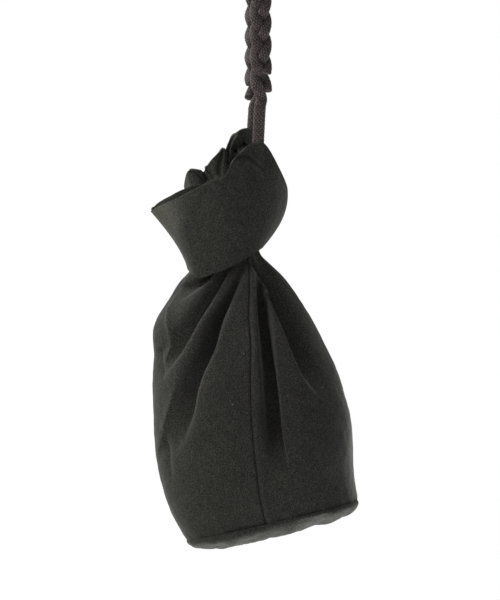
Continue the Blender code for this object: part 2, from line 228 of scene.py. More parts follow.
@dataclass(frozen=True)
class Ripple:
    """An uneven wave over space, made of a few seeded plane waves."""

    size: float
    seed: int
    waves: int = 28

    def at(self, points: Points) -> Values:
        """Reads the wave.

        Args:
            points: Where to read it.

        Returns:
            The wave's height, about -1 to 1, at each point.
        """
        draw = np.random.default_rng(self.seed)
        heads = unit(draw.normal(size=(self.waves, 3)))
        rates = 2 * math.pi / self.size * draw.uniform(0.6, 1.5, size=self.waves)
        starts = draw.uniform(0, 2 * math.pi, size=self.waves)
        heights = np.cos(points @ (heads * rates[:, None]).T + starts).sum(axis=-1)
        return heights * math.sqrt(2 / self.waves) * 0.6


def uneven(points: Points, waves: Waves) -> Values:
    """The sum of some ripples at each point, each given by its height, size and seed."""
    return sum(height * Ripple(size, seed).at(points) for height, size, seed in waves)


def deselect_all() -> None:
    """Leaves object mode on, with nothing selected."""
    if bpy.context.object is not None and bpy.context.object.mode != "OBJECT":
        bpy.ops.object.mode_set(mode="OBJECT")
    bpy.ops.object.select_all(action="DESELECT")


def new_sheet(
    name: str,
    columns: int,
    rows: int,
    place: Place,
    size: tuple[float, float],
    closed: bool = False,
    mark: tuple[str, Place] | None = None,
) -> Piece:
    """Lays a grid over a surface.

    Args:
        name: The piece's name.
        columns: How many faces the grid has across.
        rows: How many faces it has from its lower to its upper edge.
        place: Gives the surface's points from shares across and up.
        size: The cloth's width and height, which scale its UV map.
        closed: Whether the grid's points that meet are merged.
        mark: The name of an attribute for the finish to read, and what gives its values.

    Returns:
        The piece, as a single layer.
    """
    deselect_all()
    bpy.ops.mesh.primitive_grid_add(x_subdivisions=columns, y_subdivisions=rows, size=1.0)
    piece = bpy.context.object
    piece.name = piece.data.name = name
    flat = np.empty(len(piece.data.vertices) * 3)
    piece.data.vertices.foreach_get("co", flat)
    flat = flat.reshape(-1, 3) + 0.5
    points = place(flat[:, 0], flat[:, 1])
    piece.data.vertices.foreach_set("co", np.ascontiguousarray(points, dtype=float).reshape(-1))
    if mark is not None:
        attribute = piece.data.attributes.new(mark[0], "FLOAT", "POINT")
        attribute.data.foreach_set("value", mark[1](flat[:, 0], flat[:, 1]).astype(np.float32))
    layer = piece.data.uv_layers.active.data
    shares = np.empty(len(layer) * 2)
    layer.foreach_get("uv", shares)
    layer.foreach_set("uv", (shares.reshape(-1, 2) * np.array(size)).reshape(-1))
    if closed:
        bpy.ops.object.mode_set(mode="EDIT")
        bpy.ops.mesh.select_all(action="SELECT")
        bpy.ops.mesh.remove_doubles(threshold=1e-6)
        bpy.ops.object.mode_set(mode="OBJECT")
    piece.data.update()
    return piece


def apply_modifier(piece: Piece, kind: str, **settings) -> None:
    """Gives a piece a modifier and applies it at once.

    Args:
        piece: The piece.
        kind: The modifier's type.
        settings: The modifier's own properties.
    """
    deselect_all()
    piece.select_set(True)
    bpy.context.view_layer.objects.active = piece
    modifier = piece.modifiers.new(kind.lower(), kind)
    for name, value in settings.items():
        setattr(modifier, name, value)
    bpy.ops.object.modifier_apply(modifier=modifier.name)


def finish_cloth(piece: Piece, thickness: float, material: Finish) -> None:
    """Gives a cloth layer its thickness with a soft edge, and dresses it.

    Args:
        piece: The layer, whose faces point outwards.
        thickness: The cloth's thickness, which is added inwards.
        material: The cloth.
    """
    apply_modifier(piece, "SOLIDIFY", thickness=thickness, offset=-1.0, use_even_offset=False)
    bpy.ops.object.shade_smooth_by_angle(angle=math.radians(50))
    piece.data.materials.clear()
    piece.data.materials.append(material)


def dress(piece: Piece, slot: str, *nodes: str) -> None:
    """Fixes a finished piece to the body, and hides the solids it replaces.

    Args:
        piece: The piece.
        slot: Not used.
        nodes: The construction solids it replaces.
    """
    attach(piece, "root")
    if nodes:
        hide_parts(*nodes)
    LOG.info("%s: %d faces", piece.name, len(piece.data.polygons))


@dataclass(frozen=True)
class NappedCotton:
    """Brushed cotton, as moleskin: tightly woven, then raised to a short dull nap.

    It looks nearly black-green, with a fine grain, a pale bloom where the nap is seen
    edge on, and a few specks of lint. Where a piece marks it, the nap is painted paler: a painted
    highlight on the wrap's left tip, painted light on the upper back tie, and pale worn nap with a painted
    highlight along top edges.
    """

    name: str = "napped_cotton_moleskin"
    deep: str = "#181817"
    body: str = "#2d2d2b"
    raised: str = "#4e4e49"
    lint: str = "#9a9a8c"
    # Painted highlight and painted light: the paler nap colour that a piece's mark mixes in, which is real
    # pale wear only at top edges.
    pale_nap_and_highlight: str = "#6c6c64"
    # The nap is finer than this: the grain is drawn as coarse as it needs to show.
    grain: float = 0.00074
    grain_range: tuple[float, float] = (0.34, 0.67)
    patch: float = 0.035
    lint_spacing: float = 0.0045
    nap_height: float = 0.00045

    def build(self) -> Finish:
        """Makes the material.

        Returns:
            The material, ready for a piece.
        """
        material, tree, shader = new_finish(self.name)
        where = add_node(tree, "ShaderNodeTexCoord").outputs["Object"]
        grain, patch, speck = (
            add_node(
                tree,
                "ShaderNodeTexNoise",
                {"Vector": where, "Scale": 1 / size, "Detail": detail, "Roughness": roughness},
            ).outputs["Fac"]
            for size, detail, roughness in (
                (self.grain, 3.0, 0.65),
                (self.patch, 3.0, 0.55),
                (self.lint_spacing, 2.0, 0.4),
            )
        )
        low, high = self.grain_range
        grain_stops = ((low, self.deep), (0.5, self.body), (high, self.raised))
        patch_stops = ((0.35, "#eeeeee"), (0.65, "#ffffff"))
        lint_stops = ((0.765, "#000000"), (0.80, "#8a8a8a"))
        grain_colour, patch_colour, lint_mask = (
            add_node(tree, "ShaderNodeValToRGB", {"Fac": source}, stops).outputs["Color"]
            for source, stops in ((grain, grain_stops), (patch, patch_stops), (speck, lint_stops))
        )
        # The mark says where the nap is painted paler: painted highlight, painted light, and pale worn nap
        # with a painted highlight at top edges. The grain breaks it up.
        wear_and_painted_light = add_node(tree, "ShaderNodeAttribute", attribute_name="wear_and_painted_light").outputs["Fac"]
        spread = {"Value": grain, "From Min": low, "From Max": high, "To Min": 0.3, "To Max": 1.7}
        patchy = add_node(tree, "ShaderNodeMapRange", spread).outputs["Result"]
        wear_and_light_share = add_node(tree, "ShaderNodeMath", {0: wear_and_painted_light, 1: patchy}, operation="MULTIPLY").outputs[0]
        colour = grain_colour
        for blend, share, paint in (
            ("MULTIPLY", 1.0, patch_colour),
            ("MIX", lint_mask, linear(self.lint)),
            ("MIX", wear_and_light_share, linear(self.pale_nap_and_highlight)),
        ):
            feeds = {0: share, 6: colour, 7: paint}
            mixed = add_node(tree, "ShaderNodeMix", feeds, data_type="RGBA", blend_type=blend)
            colour = mixed.outputs[2]
        nap = {"Height": grain, "Strength": 0.55, "Distance": self.nap_height}
        feed_node(
            tree,
            shader,
            {
                "Base Color": colour,
                "Normal": add_node(tree, "ShaderNodeBump", nap).outputs["Normal"],
                "Roughness": 0.92,
                "Specular IOR Level": 0.15,
                "Sheen Weight": 0.20,
                "Sheen Roughness": 0.35,
                "Sheen Tint": linear("#cfcfc8"),
            },
        )
        return material


@dataclass(frozen=True)
class BraidedCotton:
    """Soft cotton cord, braided of matt yarns into small diamonds.

    The yarns are dark brown-grey, paler on their crowns, and nearly black in
    the gaps between them, where the black is painted shade.
    """

    name: str = "braided_cotton_cord"
    # Painted shade: the near-black colour in the gaps between the yarns.
    gap: str = "#0c0a0a"
    yarn: str = "#2b2627"
    # The paler colour on the yarns' crowns.
    crown_pale: str = "#64595a"
    # The fibres are finer than this: they are drawn as coarse as they need to show.
    fibre: float = 0.0006
    fuzz_height: float = 0.0002

    def build(self) -> Finish:
        """Makes the material.

        Returns:
            The material, ready for a piece.
        """
        material, tree, shader = new_finish(self.name)
        where = add_node(tree, "ShaderNodeTexCoord").outputs["Object"]
        height = add_node(tree, "ShaderNodeAttribute", attribute_name="yarn_height").outputs["Fac"]
        fibre = add_node(
            tree,
            "ShaderNodeTexNoise",
            {"Vector": where, "Scale": 1 / self.fibre, "Detail": 2.0, "Roughness": 0.6},
        ).outputs["Fac"]
        level = fibre
        for operation, value in (("ADD", -0.5), ("MULTIPLY", 2.0), ("ADD", height)):
            worked = add_node(tree, "ShaderNodeMath", {0: level, 1: value}, operation=operation)
            level = worked.outputs[0]
        # Low yarn heights take the gaps' painted shade, and the highest take the paler crown colour.
        stops = ((0.12, self.gap), (0.45, self.yarn), (0.72, self.yarn), (1.0, self.crown_pale))
        colour = add_node(tree, "ShaderNodeValToRGB", {"Fac": level}, stops).outputs["Color"]
        fuzz = {"Height": fibre, "Strength": 0.5, "Distance": self.fuzz_height}
        feed_node(
            tree,
            shader,
            {
                "Base Color": colour,
                "Normal": add_node(tree, "ShaderNodeBump", fuzz).outputs["Normal"],
                "Roughness": 0.85,
                "Specular IOR Level": 0.2,
                "Sheen Weight": 0.35,
                "Sheen Roughness": 0.4,
                "Sheen Tint": linear("#cfc8ca"),
            },
        )
        return material


@dataclass(frozen=True)
class Fold:
    """A crease or a ridge in the body's cloth, along a path over its front or back.

    The path holds (share across, level) points. Height is positive for a ridge and
    negative for a valley. Each side falls off over a width of its own, which grows from
    the path's start to its end. A sharpness of 1 gives a crease, 2 a rounded fold and 4 a
    slot. A valley with a tuck lies under the cloth on its right, whose edge is the path. The
    valley itself is moved aside by the lead, as a share of the tuck, to make room for it.
    """

    side: Side
    path: tuple[tuple[float, float], ...]
    height: float
    left: tuple[float, float] = (0.005, 0.007)
    right: tuple[float, float] = (0.005, 0.007)
    left_sharpness: float = 1.6
    right_sharpness: float = 1.0
    fade_in: float = 0.12
    fade_out: float = 0.4
    tuck: float = 0.0
    tuck_lead: float = 0.75

    def profile(
        self, across: Values, level: Values, width: Values, height: float
    ) -> tuple[Values, Values]:
        """How fully the surface follows the fold, and how far it slides along under the tuck.

        Args:
            across: The share of the way from the left edge to the right edge.
            level: The body level.
            width: The body's width there.
            height: The body's height, which levels are shares of.

        Returns:
            The fold's share at each point, from 0 to 1, and the slide in metres.
        """
        places = np.linspace(0, len(self.path) - 1, 80)
        line = smooth_line(self.path, places, closed=False)
        lean = np.gradient(line[:, 0], line[:, 1])
        centre = np.interp(level, line[:, 1], line[:, 0])
        slant = np.interp(level, line[:, 1], lean) * width / height
        along = np.clip((level - line[0, 1]) / (line[-1, 1] - line[0, 1]), 0, 1)
        fade = soft_step(along / self.fade_in) * soft_step((1 - along) / self.fade_out)
        offset = (across - centre) * width / np.sqrt(1 + slant**2) + self.tuck_lead * self.tuck * fade
        left = self.left[0] + (self.left[1] - self.left[0]) * along
        right = self.right[0] + (self.right[1] - self.right[0]) * along
        reach = np.where(offset < 0, left, right)
        sharpness = np.where(offset < 0, self.left_sharpness, self.right_sharpness)
        share = fade * np.exp(-((np.abs(offset) / reach) ** sharpness))
        under = offset * np.sign(self.tuck)
        return share, self.tuck * share * soft_step(1 + under / reach)


@dataclass
class Body:
    """The gathered body: two panels that meet at a front and a back seam, and a base."""

    width: float = 0.158
    depth: float = 0.122
    height: float = 0.2347
    knot_level: float = 0.1
    neck_width: float = 0.0545
    neck_depth: float = 0.043
    cloth: float = 0.0014
    seam_gap: float = 0.0003

    # The cloth turned in at a seam: its depth, its most as a share of the body's depth, how
    # much of the seam's gap it closes and how many of a row's faces it takes.
    turned: float = 0.004
    turned_share: float = 0.15
    turned_closes: float = 1.4
    turned_columns: int = 3
    panel_columns: int = 236
    panel_rows: int = 200
    row_samples: int = 900

    # What lies along a seam: its groove, the turned cloth on its right and small puckers.
    groove_depth: float = 0.0011
    groove_width: float = 0.0009
    turned_height: float = 0.0005
    turned_offset: float = 0.0035
    turned_width: float = 0.0028
    pucker_width: float = 0.007
    puckers: Waves = ((0.00022, 0.011, 5),)

    # The panels draw in at the base seam, over a wide and a narrow dip, with puckers too.
    hem_dips: tuple = ((0.0007, 0.0030), (0.0005, 0.0009))
    hem_pucker_width: float = 0.006
    hem_puckers: Waves = ((0.0004, 0.013, 6),)

    # How the loose cloth waves, and the level below which it is loose.
    slack: Waves = ((0.0007, 0.05, 11), (0.00018, 0.012, 12))
    slack_level: float = 0.12
    slack_ease: float = 0.2

    # The base: its size as a share of the panels' edge, its rolled rim and how far it sags.
    base_share: float = 0.986
    base_drop: float = 0.0002
    base_lip: float = 0.0010
    base_sag: float = 0.0095
    rim_share: float = 0.04
    rim_rolled: float = 0.993
    crumples: Waves = ((0.0016, 0.035, 21), (0.0006, 0.013, 22))
    loose_share: float = 0.12

    # Level, distance across, width and depth opened, slope in degrees, squareness.
    levels: tuple = (
        (0.00, 0.000, -0.05, -0.05, 15.3, 2.0),
        (0.10, 0.003, 0.00, 0.00, 14.3, 2.0),
        (0.125, 0.000, 0.06, 0.01, 13.4, 2.0),
        (0.15, -0.004, 0.17, 0.04, 12.5, 2.0),
        (0.20, 0.004, 0.352, 0.20, 10.9, 2.1),
        (0.30, 0.013, 0.630, 0.46, 9.1, 2.2),
        (0.40, 0.056, 0.758, 0.67, 9.0, 2.3),
        (0.50, 0.086, 0.876, 0.84, 8.9, 2.4),
        (0.60, 0.114, 0.964, 0.95, 9.0, 2.5),
        (0.70, 0.140, 1.000, 1.00, 9.5, 2.6),
        (0.80, 0.156, 0.985, 1.00, 10.2, 2.7),
        (0.90, 0.184, 0.928, 0.96, 11.3, 2.8),
        (1.00, 0.237, 0.828, 0.88, 12.9, 3.0),
    )

    # Where each seam lies by level, as a share of the width from the left edge.
    front_seam: tuple = (
        (0.0, 0.80), (0.13, 0.79), (0.20, 0.707), (0.26, 0.665), (0.39, 0.593), (0.52, 0.539),
        (0.68, 0.50), (0.85, 0.495), (1.0, 0.465),
    )
    back_seam: tuple = ((0.0, 0.35), (0.3, 0.42), (0.65, 0.48), (1.0, 0.52))

    folds: tuple[Fold, ...] = (
        # The deep slot beside the front seam, and the slack that stands up on its right.
        Fold(
            Side.FRONT,
            ((0.86, 0.08), (0.812, 0.187), (0.787, 0.237), (0.764, 0.305), (0.730, 0.370),
             (0.702, 0.437), (0.686, 0.504), (0.670, 0.571), (0.658, 0.639), (0.648, 0.707),
             (0.652, 0.846)),
            -0.0150, left=(0.0005, 0.0122), right=(0.0040, 0.0018), left_sharpness=4.0,
            right_sharpness=3.0, fade_in=0.34, fade_out=0.25, tuck=0.0052,
        ),
        Fold(
            Side.FRONT,
            ((0.83, 0.09), (0.795, 0.20), (0.79, 0.31), (0.788, 0.38), (0.79, 0.447),
             (0.81, 0.519), (0.843, 0.582), (0.88, 0.62), (0.93, 0.665)),
            0.0045, left=(0.005, 0.016), right=(0.004, 0.008), right_sharpness=1.6, fade_out=0.4,
        ),
        Fold(
            Side.FRONT,
            ((0.845, 0.09), (0.805, 0.20), (0.802, 0.31), (0.80, 0.38), (0.804, 0.447),
             (0.822, 0.519), (0.855, 0.582), (0.89, 0.62), (0.946, 0.67)),
            -0.0150, left=(0.0018, 0.0034), right=(0.011, 0.014), left_sharpness=2.0,
            right_sharpness=1.6, fade_in=0.25, fade_out=0.45, tuck=-0.0040,
        ),
        # The two long pleats from the knot to the left edge, under the cloth on their right.
        Fold(
            Side.FRONT,
            ((0.80, 0.09), (0.690, 0.160), (0.577, 0.220), (0.492, 0.283), (0.414, 0.345),
             (0.344, 0.407), (0.272, 0.469), (0.222, 0.532), (0.190, 0.593), (0.150, 0.656),
             (0.091, 0.715), (0.01, 0.765)),
            -0.0155, left=(0.0008, 0.0108), right=(0.0018, 0.0060), left_sharpness=1.6,
            right_sharpness=2.0, fade_in=0.38, fade_out=0.42, tuck=0.0045,
        ),
        Fold(
            Side.FRONT,
            ((0.66, 0.09), (0.535, 0.155), (0.43, 0.209), (0.345, 0.271), (0.258, 0.331),
             (0.160, 0.390), (0.074, 0.449), (0.0, 0.50)),
            -0.0090, left=(0.0026, 0.0090), right=(0.0018, 0.0030), left_sharpness=1.4,
            right_sharpness=2.0, fade_in=0.32, fade_out=0.45, tuck=0.0035,
        ),
        # The short creases on the left shoulder.
        Fold(
            Side.FRONT,
            ((0.50, 0.09), (0.40, 0.135), (0.304, 0.167), (0.195, 0.193), (0.14, 0.215),
             (0.06, 0.240)),
            -0.0110, left=(0.004, 0.010), right=(0.002, 0.003), left_sharpness=1.4,
            right_sharpness=1.7, fade_in=0.35, fade_out=0.5,
        ),
        Fold(
            Side.FRONT,
            ((0.02, 0.17), (0.07, 0.249), (0.112, 0.318), (0.108, 0.365), (0.065, 0.41),
             (0.02, 0.46)),
            0.0026, left=(0.002, 0.003), right=(0.003, 0.004), fade_in=0.3, fade_out=0.3,
        ),
        # Two small creases down the left edge.
        Fold(
            Side.FRONT,
            ((0.036, 0.370), (0.040, 0.412), (0.049, 0.453), (0.068, 0.498)),
            -0.0022, left=(0.002, 0.003), right=(0.002, 0.003),
        ),
        Fold(
            Side.FRONT,
            ((0.045, 0.630), (0.061, 0.711), (0.065, 0.771), (0.06, 0.83)),
            -0.0022, left=(0.002, 0.003), right=(0.002, 0.003),
        ),
        # The light ridge low on the left, and the dent where the slot runs out.
        Fold(
            Side.FRONT,
            ((0.15, 0.48), (0.117, 0.525), (0.089, 0.582), (0.053, 0.645), (0.021, 0.707),
             (0.0, 0.77)),
            0.0022, left=(0.003, 0.004), right=(0.0015, 0.002), fade_in=0.3, right_sharpness=1.3,
        ),
        Fold(
            Side.FRONT,
            ((0.70, 0.70), (0.665, 0.77), (0.70, 0.84)),
            -0.0016, left=(0.006, 0.008), right=(0.006, 0.008), right_sharpness=1.6, fade_in=0.5,
            fade_out=0.5,
        ),
        # The hidden side has four pleats that fan out from the knot.
        *(
            Fold(Side.BACK, path, height, right=right)
            for path, height, right in (
                (((0.35, 0.08), (0.42, 0.25), (0.48, 0.40), (0.50, 0.70)), -0.0080, (0.008, 0.014)),
                (((0.20, 0.08), (0.22, 0.25), (0.20, 0.40), (0.13, 0.60)), -0.0095, (0.008, 0.014)),
                (((0.55, 0.08), (0.66, 0.25), (0.76, 0.40), (0.86, 0.60)), -0.0095, (0.008, 0.014)),
                (((0.75, 0.08), (0.82, 0.22), (0.90, 0.36), (0.97, 0.50)), -0.0080, (0.006, 0.010)),
            )
        ),
    )

    # Folds fade out towards the outline, over this share of the depth.
    edge_calm: float = 0.4

    # The small gathers around the neck, and the level where they end.
    gathers: int = 13
    gather_depth: float = 0.0011
    gather_end: float = 0.30

    def section(self, level: Values) -> dict[str, Values]:
        """Reads the body's section.

        Args:
            level: From the neck at 0 to the base seam at 1.

        Returns:
            The section's direction across, width, depth, squareness and centre at each level.
        """
        slope = np.radians(read_table(self.levels, level, 4))
        width = self.neck_width + (self.width - self.neck_width) * read_table(self.levels, level, 2)
        depth = self.neck_depth + (self.depth - self.neck_depth) * read_table(self.levels, level, 3)
        x = NECK.x + read_table(self.levels, level, 1) * self.width
        z = NECK.z + self.height * (self.knot_level - level)
        return {
            "across": np.stack([np.cos(slope), 0 * slope, np.sin(slope)], axis=-1),
            "width": width,
            "depth": depth,
            "square": read_table(self.levels, level, 5),
            "centre": np.stack([x, 0 * slope, z], axis=-1),
        }

    def seam_share(self, level: Values, side: Side) -> Values:
        """Where a seam lies at each level, as a share of the width from the left edge."""
        return read_table(self.front_seam if side is Side.FRONT else self.back_seam, level, 1)

    def seam_angle(self, level: Values, side: Side, shift: float) -> Values:
        """Finds a seam.

        Args:
            level: The levels to find it at.
            side: The face it is on.
            shift: How far to move it across.

        Returns:
            Its angle around the section at each level.
        """
        here = self.section(level)
        share = self.seam_share(level, side) + shift / here["width"]
        cosine = 1 - 2 * share
        angle = np.arccos(np.sign(cosine) * np.abs(cosine) ** (here["square"] / 2))
        return angle if side is Side.FRONT else 2 * math.pi - angle

    def points(self, angle: Values, level: Values, detail: bool = True) -> Points:
        """The body's surface.

        Args:
            angle: Around the section: 0 is the left edge and a quarter turn the front.
            level: From the neck at 0 to the base seam at 1.
            detail: Whether folds, gathers and seams are pressed in.

        Returns:
            A point for each pair of angle and level.
        """
        here = self.section(level)
        cosine, sine = np.cos(angle), np.sin(angle)
        power = 2 / here["square"]
        along = np.sign(cosine) * np.abs(cosine) ** power
        out = np.sign(sine) * np.abs(sine) ** power
        half_width, half_depth = here["width"] / 2, here["depth"] / 2
        forward = np.array([0.0, -1.0, 0.0])
        normal = unit(
            -here["across"] * (cosine / half_width)[:, None] + forward * (sine / half_depth)[:, None]
        )
        place = here["centre"] - here["across"] * (half_width * along)[:, None]
        place = place + forward * (half_depth * out)[:, None]
        if not detail:
            return place
        share = (1 - along) / 2
        edge = soft_step(np.abs(out) / self.edge_calm)
        lift, slide = np.zeros_like(level), np.zeros_like(level)
        for fold in self.folds:
            facing = sine >= 0 if fold.side is Side.FRONT else sine < 0
            shape, shift = fold.profile(share, level, here["width"], self.height)
            lift += np.where(facing, fold.height * edge * shape, 0)
            slide += np.where(facing, edge * shift, 0)
        fade = soft_step((self.gather_end - level) / self.gather_end)
        lift += self.gather_depth * fade * (np.cos(self.gathers * angle) - 1)
        lift += self.seam_relief(share, level, here["width"], sine, place)
        lift += soft_step((level - self.slack_level) / self.slack_ease) * uneven(place, self.slack)
        sideways = here["across"] - normal * (here["across"] * normal).sum(axis=1, keepdims=True)
        return place + normal * lift[:, None] + sideways * slide[:, None]

    def seam_relief(
        self, share: Values, level: Values, width: Values, sine: Values, place: Points
    ) -> Values:
        """The groove of each seam, the turned cloth beside it and its small puckers.

        Args:
            share: The share of the way from the left edge to the right edge.
            level: The body level.
            width: The body's width there.
            sine: Above 0 on the front and below 0 on the back.
            place: The surface's plain points.

        Returns:
            How far the cloth stands out at each point.
        """
        lift = np.zeros_like(level)
        puckers = uneven(place * [0.3, 0.3, 1.0], self.puckers)
        for side, facing in ((Side.FRONT, sine >= 0), (Side.BACK, sine < 0)):
            offset = (share - self.seam_share(level, side)) * width
            relief = -self.groove_depth * bell(offset, self.groove_width)
            relief += self.turned_height * bell(offset - self.turned_offset, self.turned_width)
            relief += puckers * bell(offset, self.pucker_width)
            lift += np.where(facing, relief, 0)
        down = (1 - level) * self.height
        for depth, reach in self.hem_dips:
            lift -= depth * bell(down, reach)
        puckers = uneven(place * [1.0, 1.0, 0.2], self.hem_puckers)
        return lift + puckers * bell(down, self.hem_pucker_width)

    def make_panel(
        self, name: str, start: tuple[Side, float, int], end: tuple[Side, float, int], material: Finish
    ) -> Piece:
        """Makes one body panel.

        Args:
            name: The panel's name, which is also that of the solid it replaces.
            start: The side, shift and turns of the seam where it starts.
            end: The same for the seam where it ends.
            material: The cloth.

        Returns:
            The finished panel.
        """
        levels = np.linspace(1, 0, self.panel_rows + 1)
        grid = np.stack([self.panel_row(level, start, end) for level in levels])

        def place(across: Values, up: Values) -> Points:
            """Reads the panel's grid."""
            column = np.rint(across * self.panel_columns).astype(int)
            return grid[np.rint(up * self.panel_rows).astype(int), column]

        piece = new_sheet(name + "_cloth", self.panel_columns, self.panel_rows, place, (0.24, 0.235))
        finish_cloth(piece, self.cloth, material)
        dress(piece, "bag_cloth", name)
        return piece

    def panel_row(
        self, level: float, start: tuple[Side, float, int], end: tuple[Side, float, int]
    ) -> Points:
        """One row of a panel's points, spaced evenly over the cloth, twice as close in front.

        Args:
            level: The row's level.
            start: The side, shift and turns of the seam where it starts.
            end: The same for the seam where it ends.

        Returns:
            The row's points, with the turned-in cloth at both seams.
        """
        here = np.array([level])
        first, last = (
            self.seam_angle(here, side, shift)[0] + 2 * math.pi * turns
            for side, shift, turns in (start, end)
        )
        angles = np.linspace(first, last, self.row_samples)
        dense = self.points(angles, np.full(self.row_samples, level))
        steps = np.linalg.norm(np.diff(dense, axis=0), axis=1)
        steps = steps * np.where(np.sin((angles[1:] + angles[:-1]) / 2) > 0, 1.0, 0.5)
        run = np.concatenate([[0], np.cumsum(steps)])
        spots = np.linspace(0, run[-1], self.panel_columns + 1 - 2 * self.turned_columns)
        row = read_line(dense, run, spots)
        deep = min(self.turned, self.turned_share * float(self.section(here)["depth"][0]))
        inward = np.array([0.0, deep, 0.0])
        shares = np.arange(self.turned_columns, 0, -1)[:, None] / self.turned_columns
        meeting = np.array([-self.turned_closes * start[1], 0.0, 0.0])
        before = row[0] + (inward * np.sign(math.sin(first)) + meeting) * shares
        after = row[-1] + (inward * np.sign(math.sin(last)) + meeting) * shares[::-1]
        return np.vstack([before, row, after])

    def make_base(self, material: Finish) -> Piece:
        """Makes the base panel, which sags and wrinkles a little below its seam.

        Args:
            material: The cloth.

        Returns:
            The finished panel.
        """
        rim = self.section(np.array([1.0]))
        across = rim["across"][0]
        down = np.array([across[2], 0.0, -across[0]])
        centre = rim["centre"][0]

        def place(around: Values, inwards: Values) -> Points:
            """The base's surface, from its rim inwards."""
            edge = self.points(2 * math.pi * around, np.ones_like(around), detail=False) - centre
            roll = np.clip(inwards / self.rim_share, 0, 1)
            flat = np.clip((inwards - self.rim_share) / (1 - self.rim_share), 0, 1)
            rolled = self.rim_rolled + (1 - self.rim_rolled) * np.sqrt(roll)
            share = np.where(flat > 0, 1 - flat**1.5, rolled)
            sag = self.base_drop + self.base_lip * roll
            sag += (self.base_sag - self.base_lip) * np.where(flat > 0, 1 - share**5, 0) ** 0.6
            surface = centre + edge * (self.base_share * share)[:, None] + down * sag[:, None]
            loose = soft_step(inwards / self.loose_share) * soft_step(share * 6)
            return surface + down * (loose * uneven(surface, self.crumples))[:, None]

        piece = new_sheet("base_panel_cloth", 260, 70, place, (0.42, 0.06), closed=True)
        finish_cloth(piece, self.cloth, material)
        dress(piece, "bag_cloth", "base_panel")
        return piece

    def build(self, material: Finish) -> None:
        """Makes the panels and the base.

        Args:
            material: The cloth.
        """
        half = self.seam_gap / 2
        left = self.make_panel("left_panel", (Side.BACK, -half, -1), (Side.FRONT, -half, 0), material)
        right = self.make_panel("right_panel", (Side.FRONT, half, 0), (Side.BACK, half, 0), material)
        base = self.make_base(material)


@dataclass(frozen=True)
class Crease:
    """A line raised from the front of a tie, or pressed into it where its height is negative.

    The path holds (across, up) points in knot sizes. Left and right are the widths beside
    the line, as seen along it.
    """

    path: tuple[tuple[float, float], ...]
    height: float
    left: float = 0.002
    right: float = 0.002
    fade: float = 0.25

    def lift(self, across: Values, up: Values, size: float) -> Values:
        """How far the cloth stands out.

        Args:
            across: The points' places across, in knot sizes.
            up: Their places up.
            size: The knot's size.

        Returns:
            The distance towards the front at each point.
        """
        line = smooth_line(self.path, np.linspace(0, len(self.path) - 1, 60), closed=False)
        apart = np.stack([across, up], axis=-1)[:, None, :] - line[None, :, :]
        away = np.linalg.norm(apart, axis=2)
        nearest = away.argmin(axis=1)
        heading = np.gradient(line, axis=0)[nearest]
        offset = apart[np.arange(len(across)), nearest]
        on_left = heading[:, 0] * offset[:, 1] > heading[:, 1] * offset[:, 0]
        reach = np.where(on_left, self.left, self.right)
        along = nearest / (len(line) - 1)
        ends = soft_step(along / self.fade) * soft_step((1 - along) / self.fade)
        return self.height * ends * np.exp(-((away.min(axis=1) * size / reach) ** 2))


